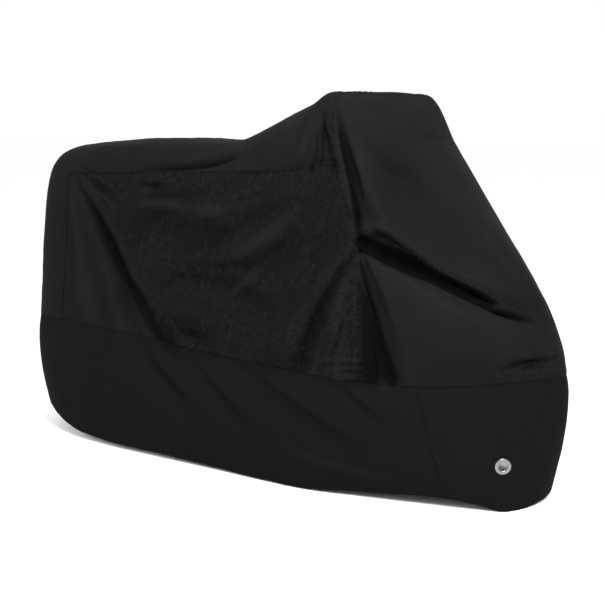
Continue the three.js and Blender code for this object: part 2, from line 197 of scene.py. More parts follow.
def through(points, places, closed=False):
    """Points on the smooth curve through a row of points, at places counted along that row."""
    count = len(points)
    before = np.floor(places).astype(int)
    if closed:
        a, b, c, d = (points[(before + step) % count] for step in (-1, 0, 1, 2))
    else:
        before = np.minimum(before, count - 2)
        padded = np.concatenate([2 * points[:1] - points[1:2], points, 2 * points[-1:] - points[-2:-1]])
        a, b, c, d = (padded[before + step] for step in range(4))
    part = (places - before).reshape(-1, *[1] * (points.ndim - 1))
    ab, bc, cd = (
        np.sqrt(np.linalg.norm(step, axis=-1, keepdims=True)) for step in (b - a, c - b, d - c))
    bc = np.where(bc < 1e-6, 1, bc)
    ab, cd = np.where(ab < 1e-6, bc, ab), np.where(cd < 1e-6, bc, cd)
    leave = ((b - a) / ab - (c - a) / (ab + bc) + (c - b) / bc) * bc
    arrive = ((c - b) / bc - (d - b) / (bc + cd) + (d - c) / cd) * bc
    return (
        b + leave * part + (3 * (c - b) - 2 * leave - arrive) * part**2
        + (2 * (b - c) + leave + arrive) * part**3
    )


def spot(place, side):
    """A place of a table, given in metres on one side of the cover."""
    along, out, height = place
    return ((along - AHEAD) * MM, (-out if side == "right" else out) * MM, height * MM)


right_ribs = [[spot(place, "right") for place in rib] for rib in RIBS.values()]
left_ribs = [
    [spot(LEFT.get(name, {}).get(line, place), "left") for line, place in enumerate(rib)]
    for name, rib in RIBS.items()
]
rings = np.array(right_ribs + left_ribs[-2:0:-1])  # round the cover, with both middle ribs once
rib_places = thread_places(RIB_THREADS, SEAM_RIBS)
line_places = thread_places(LINE_THREADS, SEAM_LINES)
near = through(rings, rib_places, closed=True).transpose(1, 0, 2)
far = through(rings, (2 * NOSE - rib_places) % (2 * NOSE), closed=True).transpose(1, 0, 2)
arches = np.concatenate([far[:0:-1], near])
arch_places = np.concatenate([-line_places[:0:-1], line_places]) + HEM
cover = np.ascontiguousarray(through(arches, arch_places).transpose(1, 0, 2))
MIDDLE = len(line_places) - 1  # the crown line's place among the threads across
thread_of_rib = np.concatenate([[0], np.cumsum(RIB_THREADS)])
thread_of_line = np.concatenate([[0], np.cumsum(LINE_THREADS)])


def facing_of(points):
    """The way the cloth faces at each point, outwards."""
    along = np.gradient(points, axis=0)
    across = np.gradient(points, axis=1)
    facing = np.cross(across, along)
    facing /= np.maximum(np.linalg.norm(facing, axis=-1, keepdims=True), 1e-12)
    for end in (0, -1):
        facing[end] += facing[end, ::-1]
    return facing / np.maximum(np.linalg.norm(facing, axis=-1, keepdims=True), 1e-12)


# The main folds, as in the solids. Each has its side, its depth along the path, which is outward
# when positive, its width at the start and at the end of the path, and the path. Where there are
# two pairs of widths, they are those to the left and to the right of the path, seen from outside.
FOLDS = {
    "deep fold from the pinch to the nose": ("right",
     [-14, -40, -50, -52, -46, -34, -6], (18, 50), (25, 110),
     [(518, 355, 813), (603, 340, 781), (675, 320, 758), (738, 280, 728), (813, 230, 690),
      (885, 160, 650), (955, 55, 604)]),
    "groove in front of the high ridge": ("right", [0, -10, -18, -14], (14, 50), (14, 40),
     [(428, 335, 1200), (480, 340, 1058), (520, 345, 959), (540, 345, 890)]),
    "groove behind the high ridge": ("right", [0, -16, -14, 0], (12, 40), (16, 50),
     [(372, 330, 1205), (393, 335, 1115), (420, 340, 1038), (440, 340, 990)]),
    "crease down from the pinch": ("right", [-10, -16, -16, -12], (16, 50),
     [(526, 355, 790), (579, 355, 661), (611, 350, 557), (632, 340, 400)]),
    "trough back from the pinch": ("right", [-6, -12, -14], (20, 60), (20, 70),
     [(505, 352, 790), (404, 350, 630), (314, 350, 431)]),
    "rise below the pinch": ("right", [0, 9, 12], (20, 60),
     [(500, 352, 740), (455, 355, 600), (450, 350, 410)]),
    "tail fan trough": ("right", [0, -10, -16, -22, -20], (14, 110), (10, 60),
     [(-730, 203, 968), (-628, 220, 830), (-549, 235, 710), (-472, 250, 575), (-363, 285, 411)]),
    "tail fan cone": ("right", [0, 8, 14, 16], (10, 60), (10, 90),
     [(-740, 203, 965), (-700, 220, 800), (-650, 240, 620), (-570, 275, 420)]),
    "short fold beside the tail": ("right", [0, -8, 0], (12, 26), (12, 30),
     [(-690, 205, 978), (-610, 214, 940), (-500, 224, 890)]),
    "rise under the saddle seam": ("right", [0, 8, 9, 0], (40, 60), (50, 70),
     [(-430, 245, 885), (-250, 265, 875), (-60, 280, 880), (60, 295, 890)]),
    "slanting rise on the side": ("right", [0, 10, 12, 0], (60, 60),
     [(-90, 300, 720), (60, 320, 780), (220, 335, 850), (310, 340, 900)]),
    "trough across the side": ("right", [0, -9, -10, 0], (60, 70),
     [(-340, 285, 640), (-120, 305, 660), (80, 325, 630), (230, 345, 560)]),
    "first slanting crease of the skirt": ("right", [0, -9, -9, 0], (35, 45),
     [(-422, 300, 400), (-300, 315, 330), (-180, 325, 230), (-90, 325, 140)]),
    "second slanting crease of the skirt": ("right", [0, -9, -9, 0], (35, 45),
     [(-187, 325, 410), (-60, 335, 300), (60, 335, 200), (180, 330, 120)]),
    "long crease of the skirt": ("right", [0, -10, -10, 0], (35, 50),
     [(60, 345, 385), (220, 350, 290), (400, 345, 200), (560, 320, 130)]),
    "short crease of the skirt": ("right", [0, -8, 0], (30, 40),
     [(422, 350, 375), (540, 340, 290), (650, 315, 210)]),
    "low ridge of the skirt": ("right", [0, 8, 9, 0], (26, 30),
     [(200, 335, 145), (330, 335, 112), (480, 320, 85), (640, 290, 55)]),
    "left tail fan": ("left", [0, -10, -18, -16], (14, 60), (14, 90),
     [(-726, 203, 966), (-610, 224, 800), (-520, 245, 610), (-430, 285, 420)]),
    "left fold under the high ridge": ("left", [0, -14, -22, -10], (14, 60),
     [(420, 334, 1180), (470, 342, 1000), (560, 345, 800), (600, 340, 600)]),
    "left fold back from the high ridge": ("left", [0, -12, -16, 0], (14, 60), (14, 70),
     [(380, 332, 1180), (300, 330, 950), (180, 325, 740), (40, 322, 560)]),
    "left rise on the side": ("left", [0, 10, 10, 0], (60, 70),
     [(-400, 262, 830), (-200, 285, 790), (20, 310, 800), (180, 325, 840)]),
    "left fold at the nose": ("left", [0, -16, -20, 0], (20, 60), (20, 90),
     [(660, 330, 740), (760, 275, 680), (850, 220, 610), (930, 150, 560)]),
    "left skirt crease by the nose": ("left", [0, -10, -10, 0], (40, 50),
     [(500, 345, 370), (360, 350, 280), (200, 345, 190), (60, 330, 120)]),
    "left skirt crease by the tail": ("left", [0, -9, -9, 0], (40, 50),
     [(-260, 320, 400), (-380, 310, 300), (-500, 300, 200), (-600, 285, 120)]),
}
PATH_STEPS, FOLD_ROUND = 32, 0.5


def fold_move(points, facing, fold, rounding):
    """How far one fold moves each point of the cloth, and which points it reaches."""
    side, depth, *widths, path = fold
    left, right = widths[0], widths[-1]
    path = np.array([spot(place, side) for place in path])
    steps = through(path, np.linspace(0, len(path) - 1, PATH_STEPS + 1))
    widest = max(left + right) * MM
    low, high = steps.min(0) - widest, steps.max(0) + widest
    reached = np.all((points > low) & (points < high), axis=-1)
    reached &= points[..., 1] < MM if side == "right" else points[..., 1] > -MM
    here, out = points[reached], facing[reached]
    best = np.full(len(here), np.inf)
    share, on_left = np.zeros(len(here)), np.zeros(len(here), bool)
    for step in range(PATH_STEPS):
        start, run = steps[step], steps[step + 1] - steps[step]
        part = np.clip((here - start) @ run / (run @ run), 0, 1)
        away = here - start - part[:, None] * run
        away -= out * np.sum(away * out, axis=1, keepdims=True)
        gap = np.linalg.norm(away, axis=1)
        nearer = gap < best
        best[nearer] = gap[nearer]
        share[nearer] = (step + part[nearer]) / PATH_STEPS
        on_left[nearer] = (np.sum(away * np.cross(out, run), axis=1) > 0)[nearer]
    width = np.where(
        on_left, left[0] + (left[1] - left[0]) * share, right[0] + (right[1] - right[0]) * share)
    close = 1 - np.minimum(best / (width * MM), 1)
    swell = close * close * (3 - 2 * close)
    deep = np.interp(share, np.linspace(0, 1, len(depth)), depth) * MM
    return deep * ((1 - rounding) * close + rounding * swell), reached


def folded_by(folds, rounding):
    """How far all these folds together move each point of the cloth outwards."""
    facing = facing_of(cover)
    moved = np.zeros(cover.shape[:2])
    for fold in folds:
        move, reached = fold_move(cover, facing, fold, rounding)
        moved[reached] += move
    return moved


moved = folded_by(FOLDS.values(), FOLD_ROUND)
SKIRT_SWELL = 16 * MM  # the skirt stands out by this much half way down
down = np.clip(np.abs(arch_places - HEM) - BELT, 0, 1)
moved += 4 * down * (1 - down) * SKIRT_SWELL
cover += facing_of(cover) * moved[..., None]

# The finer creases, in the same form. The sewn joins and the pull of the folds leave these in the
# thin cloth. Those behind the front seam are also made on the left, a little off and weaker.
CREASES = {
    "slot of the deep fold": ([-12, -15, -18, -24, -33, -34, -6], (48, 14), (16, 30),
     [(526, 346, 798), (577, 324, 780), (636, 293, 753), (717, 247, 710), (820, 188, 653),
      (904, 142, 614), (968, 72, 577)]),
    "dark triangle on the front seam": ([-4, -16, -28, -30], (18, 40), (16, 60),
     [(528, 356, 700), (542, 356, 640), (558, 352, 540), (570, 344, 410)]),
    "dark hollow at the foot of the valley": ([-4, -8, -7, 0], (70, 60), (50, 44),
     [(-359, 275, 524), (-233, 292, 483), (-114, 306, 470), (8, 316, 470)]),
    "wrinkled triangle at the pinch": ([-12, -22, -22, -8], (18, 14), (52, 40),
     [(529, 345, 815), (574, 343, 843), (634, 322, 815), (704, 284, 760)]),
    "hollow of the wedge": ([-2, -9, -11, -8, 0], (9, 22), (9, 26),
     [(386, 332, 1210), (382, 333, 1160), (380, 335, 1110), (378, 336, 1060), (376, 337, 1010)]),
    "rear edge of the wedge": ([0, -8, -10, -4], (8, 20), (8, 14),
     [(370, 330, 1205), (355, 332, 1114), (345, 335, 1030)]),
    "front edge of the wedge": ([0, -4, -4, -2], (5, 8),
     [(398, 334, 1200), (411, 336, 1115), (424, 338, 1045)]),
    "bottom of the front groove": ([-4, -14, -20, -22, -14], (22, 30), (10, 10),
     [(426, 330, 1232), (454, 338, 1113), (482, 340, 1004), (506, 346, 896), (516, 352, 828)]),
    "soft valley of the hood": ([0, -3, -4, -3, 0], (30, 60), (25, 45),
     [(459, 319, 1178), (505, 284, 1110), (550, 237, 1043), (611, 168, 993), (665, 166, 929)]),
    "shallow under the ridge": ([0, -2, -2, 0], (30, 30),
     [(448, 300, 1215), (465, 200, 1205), (470, 110, 1205), (470, 30, 1205)]),
    "wrinkle at the pinch": ([-2, -5, -5, 0], (7, 10),
     [(526, 345, 803), (587, 344, 825), (643, 323, 794), (686, 275, 747)]),
    "bottom of the crease down": ([-10, -24, -32, -34, -28], (14, 22), (12, 18),
     [(529, 355, 751), (553, 354, 674), (576, 352, 599), (597, 340, 492), (615, 328, 399)]),
    "rear edge of the flat triangle": ([0, -7, -9, 0], (8, 14), (8, 26),
     [(473, 360, 591), (455, 364, 513), (432, 362, 447)]),
    "bottom of the trough back": ([0, -4, -5, -4, 0], (10, 20),
     [(481, 354, 780), (422, 350, 680), (374, 346, 595), (330, 344, 511), (299, 342, 440)]),
    "ridge between the crinkles": ([0, 5, 5, 3, 0], (6, 8),
     [(360, 347, 432), (464, 362, 450), (543, 350, 450), (596, 333, 442)]),
    "first crinkle above the skirt": ([0, -6, -6, -4, 0], (6, 9),
     [(354, 346, 422), (464, 362, 440), (543, 350, 440), (601, 332, 430)]),
    "second crinkle above the skirt": ([0, -5, 0], (6, 8),
     [(387, 351, 405), (495, 354, 417), (583, 340, 409)]),
    "third crinkle above the skirt": ([0, -5, 0], (6, 8),
     [(496, 358, 457), (566, 348, 453), (605, 334, 440)]),
    "hollow at the foot of the hood": ([0, -7, -7, 0], (26, 30), (18, 20),
     [(905, 212, 449), (976, 170, 456), (1029, 120, 458), (1058, 70, 458)]),
    "first crinkle at the nose": ([0, -7, -8, 0], (8, 12),
     [(901, 202, 434), (951, 163, 452), (1004, 96, 462), (1040, 15, 468)]),
    "second crinkle at the nose": ([0, -6, 0], (8, 12),
     [(940, 171, 430), (984, 125, 444), (1030, 58, 436)]),
    "bottom of the tail valley": ([0, -8, -12, -15, -19, -18], (20, 90), (15, 28),
     [(-724, 206, 973), (-632, 226, 848), (-541, 236, 704), (-446, 262, 589), (-333, 293, 463),
      (-252, 316, 401)]),
    "line at the end of the saddle": ([0, -5, 0], (5, 7), (5, 9),
     [(-740, 177, 1015), (-684, 197, 995), (-632, 209, 976)]),
    "second fold by the tail": ([0, -6, 0], (6, 12),
     [(-665, 215, 950), (-600, 221, 921), (-539, 228, 892)]),
    "hollow under the saddle seam": ([0, -8, -9, 0], (14, 18), (22, 34),
     [(-424, 228, 952), (-352, 236, 950), (-276, 244, 955)]),
    "leaf-shaped hollow of the saddle": ([0, -7, -14, -18, -12, 0], (30, 40), (20, 30),
     [(-420, 212, 1003), (-311, 220, 1007), (-149, 232, 1022), (-45, 235, 1041), (22, 234, 1059)]),
    "upright rise behind the wedge": ([0, 7, 7, 0], (16, 24),
     [(335, 308, 1180), (311, 310, 1113), (286, 316, 1052)]),
    "first soft rise on the side": ([0, 8, 9, 0], (22, 26), (22, 30),
     [(-413, 245, 877), (-282, 255, 887), (-167, 262, 886)]),
    "second soft rise on the side": ([0, 9, 0], (18, 22), (20, 24),
     [(-134, 268, 868), (-60, 275, 875), (8, 280, 879)]),
    "slanting streak": ([0, 8, 9, 0], (26, 36),
     [(31, 315, 737), (145, 329, 791), (263, 339, 846)]),
    "hollow across the side": ([0, -4, -4, 0], (26, 30),
     [(-101, 296, 696), (47, 317, 709), (164, 330, 719)]),
    "low slanting streak": ([0, 6, 7, 0], (22, 30),
     [(-9, 318, 596), (87, 320, 653), (165, 331, 706)]),
    "line of the first skirt crease": ([0, -4, -6, -4, 0], (16, 26),
     [(-417, 296, 408), (-268, 319, 316), (-178, 326, 248), (-91, 333, 192)]),
    "line of the second skirt crease": ([0, -4, -6, 0], (16, 26),
     [(-181, 318, 420), (-27, 334, 294), (118, 342, 173)]),
    "line of the long skirt crease": ([0, -4, -6, -4, 0], (16, 26),
     [(35, 333, 396), (238, 349, 308), (422, 349, 220), (583, 319, 142)]),
    "line of the short skirt crease": ([0, -5, 0], (16, 24),
     [(426, 356, 382), (542, 343, 300), (650, 317, 215)]),
    "bright ridge of the skirt": ([0, 7, 9, 7, 0], (7, 9), (8, 10),
     [(257, 350, 140), (417, 339, 110), (532, 320, 88), (639, 291, 63)]),
    "second bright ridge of the skirt": ([0, 6, 0], (6, 8),
     [(310, 345, 111), (390, 340, 103), (468, 333, 94)]),
    "upright ridge beside the nose": ([0, 6, 7, 0], (7, 9),
     [(715, 301, 240), (750, 287, 182), (780, 272, 123)]),
    "first ridge of the rear skirt": ([0, 6, 0], (7, 8),
     [(-837, 239, 437), (-808, 255, 397), (-786, 265, 364)]),
    "second ridge of the rear skirt": ([0, 6, 0], (7, 8),
     [(-786, 263, 193), (-777, 260, 136), (-771, 253, 77)]),
    "third ridge of the rear skirt": ([0, 6, 0], (7, 8),
     [(-637, 293, 180), (-633, 289, 131), (-634, 284, 85)]),
    "first ridge at the front hem": ([0, 5, 0], (7, 8),
     [(795, 262, 110), (807, 255, 73), (834, 240, 35)]),
    "second ridge at the front hem": ([0, 5, 0], (7, 8),
     [(900, 222, 100), (906, 219, 73), (918, 205, 24)]),
}
CREASE_ROUND, LEFT_SHIFT, LEFT_SHARE, BEHIND_SEAM = 0.2, -45, 0.8, 430
creases = [("right", *crease) for crease in CREASES.values()]
for depth, *widths, path in CREASES.values():
    if max(along for along, _, _ in path) < BEHIND_SEAM:
        shifted = [(along + LEFT_SHIFT, out, height) for along, out, height in path]
        creases.append(("left", [LEFT_SHARE * deep for deep in depth], *reversed(widths), shifted))

creased_by = folded_by(creases, CREASE_ROUND)
for axis in (0, 1):  # blurred a little, so that a narrow crease has no stairs from thread to thread
    creased_by = (np.roll(creased_by, 1, axis) + 2 * creased_by + np.roll(creased_by, -1, axis)) / 4
cover += facing_of(cover) * creased_by[..., None]


def smooth(value, low, high):
    """0 below low, 1 above high, and a soft step between them."""
    share = np.clip((value - low) / (high - low), 0, 1)
    return share * share * (3 - 2 * share)


def within(value, low, high, fade):
    """1 between low and high, fading to 0 outside them."""
    return smooth(value, low - fade, low) * (1 - smooth(value, high, high + fade))


def run_of(points, axis):
    """Length along the cloth from the first thread, in metres."""
    steps = np.linalg.norm(np.diff(points, axis=axis), axis=-1)
    return np.insert(np.cumsum(steps, axis=axis), 0, 0, axis=axis)


def runs_of_cover():
    """Length along the cloth from the tail, and across it from the crown line, in metres."""
    across = run_of(cover, 1)
    return run_of(cover, 0), np.abs(across - across[:, MIDDLE:MIDDLE + 1])


rib_at = rib_places[:, None]
line_at = np.abs(arch_places - HEM)[None, :]
run_along, run_across = runs_of_cover()


def past_line(line):
    """How far each point lies below a line, in metres along the cloth."""
    at = thread_of_line[line]
    below = np.empty_like(run_across)
    below[:, MIDDLE:] = run_across[:, MIDDLE:] - run_across[:, [MIDDLE + at]]
    below[:, :MIDDLE] = run_across[:, :MIDDLE] - run_across[:, [MIDDLE - at]]
    return below


def past_rib(rib):
    """How far each point lies in front of a rib, in metres along the cloth."""
    return run_along - run_along[thread_of_rib[rib]]


def crumpled_places():
    """Where the cloth is crumpled: on the sides, on the top and at the foot of the nose."""
    return (
        within(rib_at, TAIL_CORNER + 0.2, FRONT_SEAM, 0.15) * within(line_at, RIM, BELT, 0.1),
        within(rib_at, 0, FRONT_SEAM, 0.3) * (1 - smooth(line_at, RIM, RIM + 0.1)),
        smooth(past_line(BELT), -0.11, -0.05) * within(rib_at, 10.5, 12, 0.3),
    )


def by_seam(distance, reach):
    """1 on a seam, fading over this reach on both sides of it."""
    return np.exp(-((distance / reach) ** 2))


# The cloth is a little longer than the shape that it lies on: by a hundredth or less where it is
# smooth, and more where the elastic, the seams and the folds gather it. It buckles to fit, which
# gives the small crumple of the sides, the puckers along the seams and the gathers of the hem.
PLAIN_SPARE, CRUMPLE_SPARE = 0.002, 0.001
BELT_SPARE, HEM_SPARE, RIM_SPARE, CORNER_SPARE = 0.012, 0.02, 0.010, 0.010
PINCH_SPARE, PINCH_BACK, SHOULDER_SPARE = 0.04, 0.015, 0.015
FLANK_SPARE, NOSE_SPARE = 0.030, 0.020
SEAM_REACH, CORNER_REACH, WIDE_REACH = 0.015, 0.012, 0.03  # metres
below_belt, past_front = past_line(BELT), past_rib(FRONT_SEAM)
on_side, on_top, at_nose_foot = crumpled_places()
above_belt = smooth(below_belt, -0.055, -0.01) * (1 - smooth(below_belt, 0.0, 0.012))
spare_along = (
    PLAIN_SPARE + CRUMPLE_SPARE * on_side + CRUMPLE_SPARE * on_top
    + BELT_SPARE * above_belt + HEM_SPARE * by_seam(past_line(HEM), WIDE_REACH)
    + RIM_SPARE * by_seam(past_line(RIM), SEAM_REACH) * (rib_at < FRONT_SEAM)
)
spare_across = (
    PLAIN_SPARE + CRUMPLE_SPARE * on_side + CRUMPLE_SPARE * on_top
    + PINCH_SPARE * by_seam(past_front + PINCH_BACK, WIDE_REACH) * within(line_at, WAIST, BELT, 0.3)
    + SHOULDER_SPARE * by_seam(past_front, SEAM_REACH) * within(line_at, SHOULDER, WAIST, 0.1)
    + FLANK_SPARE * above_belt * within(rib_at, 7.2, 8.8, 0.3)
    + NOSE_SPARE * above_belt * within(rib_at, 10.6, 12.0, 0.3)
    + CORNER_SPARE * by_seam(past_rib(TAIL_CORNER), CORNER_REACH) * within(line_at, RIM, BELT, 0.1)
)
signed_across = (run_across * np.sign(arch_places - HEM)).astype(np.float32)
along_cloth = run_along.astype(np.float32)
chance = np.random.default_rng(20)
WAVES = 40


def ripple(spacing):
    """A smooth random swell of the cloth, from about -1 to 1, with bumps this far apart."""
    swell = np.zeros_like(along_cloth)
    for turn, stretch, start in chance.uniform(0, 1, (WAVES, 3)).astype(np.float32):
        pace = np.float32(math.pi / spacing / (0.7 + 0.8 * stretch))
        along, across = pace * math.cos(2 * math.pi * turn), pace * math.sin(2 * math.pi * turn)
        swell += np.sin(along_cloth * np.float32(along) + signed_across * np.float32(across) + 6 * start)
    return swell / math.sqrt(WAVES)


# The cone beside the tail is smooth. Its edge leans forwards as it goes down.
CONE_LEAN, CONE_EDGE = 0.83, (0.03, 0.10)
off_cone = smooth(cover[..., 0] + CONE_LEAN * cover[..., 2], *CONE_EDGE)
# Height and spacing of the broad swells, and of the small ones, which differ from patch to patch.
SWELL, CRUMPLES = (2.6 * MM, 0.13), [(1.0 * MM, 0.06), (0.9 * MM, 0.032), (0.9 * MM, 0.017)]
patchy = np.clip(0.6 + 0.8 * ripple(0.09), 0.15, 1.7)
crumple = (on_side * off_cone + 0.25 * on_top + 0.04 + 0.2 * above_belt + 0.5 * at_nose_foot) * patchy
swell = SWELL[0] * ripple(SWELL[1]) * (on_side + 0.3 * on_top)
for high, spacing in CRUMPLES:
    swell += high * np.abs(ripple(spacing)) * crumple
facing = facing_of(cover)
shape = (cover + facing * swell[..., None]).astype(np.float32)
cloth = shape + (facing * (0.4 * MM * (ripple(0.03) + ripple(0.015)))[..., None]).astype(np.float32)
facing = facing.astype(np.float32)
stretch_along = (1 + spare_along).astype(np.float32)
stretch_across = (1 + spare_across).astype(np.float32)
ALL, FROM, TO = slice(None), slice(None, -1), slice(1, None)
threads = []
for start, end, part in (
    ((FROM, ALL), (TO, ALL), 1.0), ((ALL, FROM), (ALL, TO), 1.0),
    ((FROM, FROM), (TO, TO), 0.5), ((FROM, TO), (TO, FROM), 0.5),
):
    span = shape[end] - shape[start]
    if part == 1.0:
        stretch = stretch_along if start[0] == FROM else stretch_across
        length = np.linalg.norm(span, axis=-1) * (stretch[start] + stretch[end]) / 2
    else:
        length = np.linalg.norm(span, axis=-1) * (
            stretch_along[start] + stretch_along[end] + stretch_across[start] + stretch_across[end]) / 4
    threads.append((start, end, part, length))


def unevenness(offset):
    """How far each point stands out from its four neighbours."""
    padded = np.pad(offset, ((1, 1), (1, 1), (0, 0)), "edge")
    return 4 * offset - padded[:-2, 1:-1] - padded[2:, 1:-1] - padded[1:-1, :-2] - padded[1:-1, 2:]


QUICK_ROUNDS, ROUNDS, GIVE, STIFF, HOLD_ALONG, HOLD_OUT = 20, 150, 0.3, 0.007, 0.04, 0.001
for _ in range(ROUNDS):
    pull = np.zeros_like(cloth)
    for start, end, part, length in threads:
        span = cloth[end] - cloth[start]
        now = np.sqrt(np.einsum("ijk,ijk->ij", span, span))
        shift = span * (part * GIVE * (1 - length / now))[..., None]
        pull[start] += shift
        pull[end] -= shift
    cloth += pull
    offset = cloth - shape
    out = np.einsum("ijk,ijk->ij", offset, facing)[..., None] * facing
    cloth -= HOLD_OUT * out + HOLD_ALONG * (offset - out) + STIFF * unevenness(unevenness(offset))
    for end in (0, -1):  # both sides meet at the tail and at the nose
        cloth[end] = (cloth[end] + cloth[end, ::-1]) / 2
cover = cloth.astype(float)

# The cloth is drawn flat round each eyelet, whose two metal halves are pressed together through it.
# It puckers a little towards the metal. The hole itself is hidden under the flange.
EYELETS = {"eyelet_right": "eyelet_right_face", "eyelet_left": "eyelet_left_face"}
FLAT_TO, FREE_FROM, NEAR_SEAT, HOLE = 28 * MM, 75 * MM, 60 * MM, 16 * MM
PUCKER_HIGH, PUCKERED, PUCKER_FADE = 0.5 * MM, (32 * MM, 44 * MM), 10 * MM
mount_axis = {mount["name"]: mount["axis"] for mount in frame["record"]["mounts"]}
eyelet_seats = {}
for name, mount in EYELETS.items():
    low, high = (np.array(corner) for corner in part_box(name))
    seat, axis = (low + high) / 2, np.array(mount_axis[mount])
    axis /= np.linalg.norm(axis)
    seat = seat + axis * MM  # the solid reaches 3.9 mm in and 1.9 mm out from the face of the cloth
    eyelet_seats[name] = (seat, axis)
    away = cover - seat
    out = away @ axis
    gap = np.linalg.norm(away - out[..., None] * axis, axis=-1)
    near_seat = (np.abs(out) < NEAR_SEAT) & (gap < FREE_FROM)
    held = np.where(near_seat, 1 - smooth(gap, FLAT_TO, FREE_FROM), 0)
    side_way = np.cross(axis, (0.0, 0.0, 1.0))
    side_way /= np.linalg.norm(side_way)
    turn = np.arctan2(away @ np.cross(side_way, axis), away @ side_way)
    pucker = PUCKER_HIGH * (np.sin(5 * turn + 1) + np.sin(8 * turn)) * within(gap, *PUCKERED, PUCKER_FADE)
    cover -= ((out - pucker) * held)[..., None] * axis

# The hem of the skirt is turned under to the inside and sewn over a thin elastic. It goes on from
# the drawn surface, in rows round the turn and then back up inside.
HEM_TURN, HEM_DEEP, TURN_STEPS, BACK_STEPS, STEP_PLACE = 1.6 * MM, 22 * MM, 4, 3, 0.01
facing = facing_of(cover)
hem_rows = []
for edge, before in ((0, 2), (-1, -3)):
    down_way = cover[:, edge] - cover[:, before]
    down_way /= np.linalg.norm(down_way, axis=1, keepdims=True)
    rows = []
    for step in range(1, TURN_STEPS + 1):
        angle = math.pi * step / TURN_STEPS
        rows.append(HEM_TURN * (math.sin(angle) * down_way - (1 - math.cos(angle)) * facing[:, edge]))
    for step in range(1, BACK_STEPS + 1):
        rows.append(rows[TURN_STEPS - 1] - down_way * HEM_DEEP * step / BACK_STEPS)
    hem_rows.append(np.stack([cover[:, edge] + row for row in rows], axis=1))
cover = np.concatenate([hem_rows[0][:, ::-1], cover, hem_rows[1]], axis=1)
TURNED = TURN_STEPS + BACK_STEPS
arch_places = np.concatenate([
    -np.arange(TURNED, 0, -1) * STEP_PLACE, arch_places, 2 * HEM + np.arange(1, TURNED + 1) * STEP_PLACE])
MIDDLE += TURNED
creased_by, off_cone = (
    np.pad(values, ((0, 0), (TURNED, TURNED)), "edge") for values in (creased_by, off_cone))
line_at = np.abs(arch_places - HEM)[None, :]
run_along, run_across = runs_of_cover()
below_rim, below_belt = past_line(RIM), past_line(BELT)
past_corner, past_front, past_strip = (past_rib(rib) for rib in SEAM_RIBS)

# The upper panels are black plain-weave polyester with a thin coating on its face, which gives it a soft
# sheen. Its colour is paler on the worn ridges and darker down in the folds, recesses and creases, where the
# darkening is painted shade, and it has the fine crumple of cloth that was folded in its bag.
facing = facing_of(cover)


def relief(rounds, full):
    """How far each point stands out from the smoothed cloth, from -1 to 1."""
    flattened = cover.copy()
    for _ in range(rounds):
        flattened -= unevenness(flattened) / 8
    return np.clip(np.einsum("ijk,ijk->ij", cover - flattened, facing) / full, -1, 1)


on_side, on_top, at_nose_foot = crumpled_places()
crumpled = np.clip(0.1 + on_side * off_cone + 0.4 * on_top + 0.6 * at_nose_foot, 0, 1)
BROAD, FINE = (300, 13 * MM), (10, 0.7 * MM)  # rounds of smoothing, and the height that counts in full
FULL_CREASE = 18 * MM
# Painted shade with some wear: darker in broad recesses, in the small creases of the crumple and down in the
# deep creases, and paler on worn ridges and rises.
rubbed = np.clip(
    0.5 + 0.3 * relief(*BROAD) + 0.13 * crumpled * relief(*FINE)
    + 0.48 * np.clip(creased_by / FULL_CREASE, -1, 0.4), 0, 1)
cloth_map = np.stack([run_along, run_across * np.sign(arch_places - HEM)], axis=-1)


def plug(socket, value):
    """Give a socket its value, which may come out of another node."""
    if isinstance(value, bpy.types.NodeSocket):
        socket.id_data.links.new(value, socket)
    else:
        socket.default_value = value


def add_node(material, kind, settings=None, **sockets):
    """A node of a material, with its settings and what goes into its sockets."""
    made = material.node_tree.nodes.new(kind)
    for key, value in (settings or {}).items():
        setattr(made, key, value)
    for key, value in sockets.items():
        plug(made.inputs[key.replace("_", " ")], value)
    return made


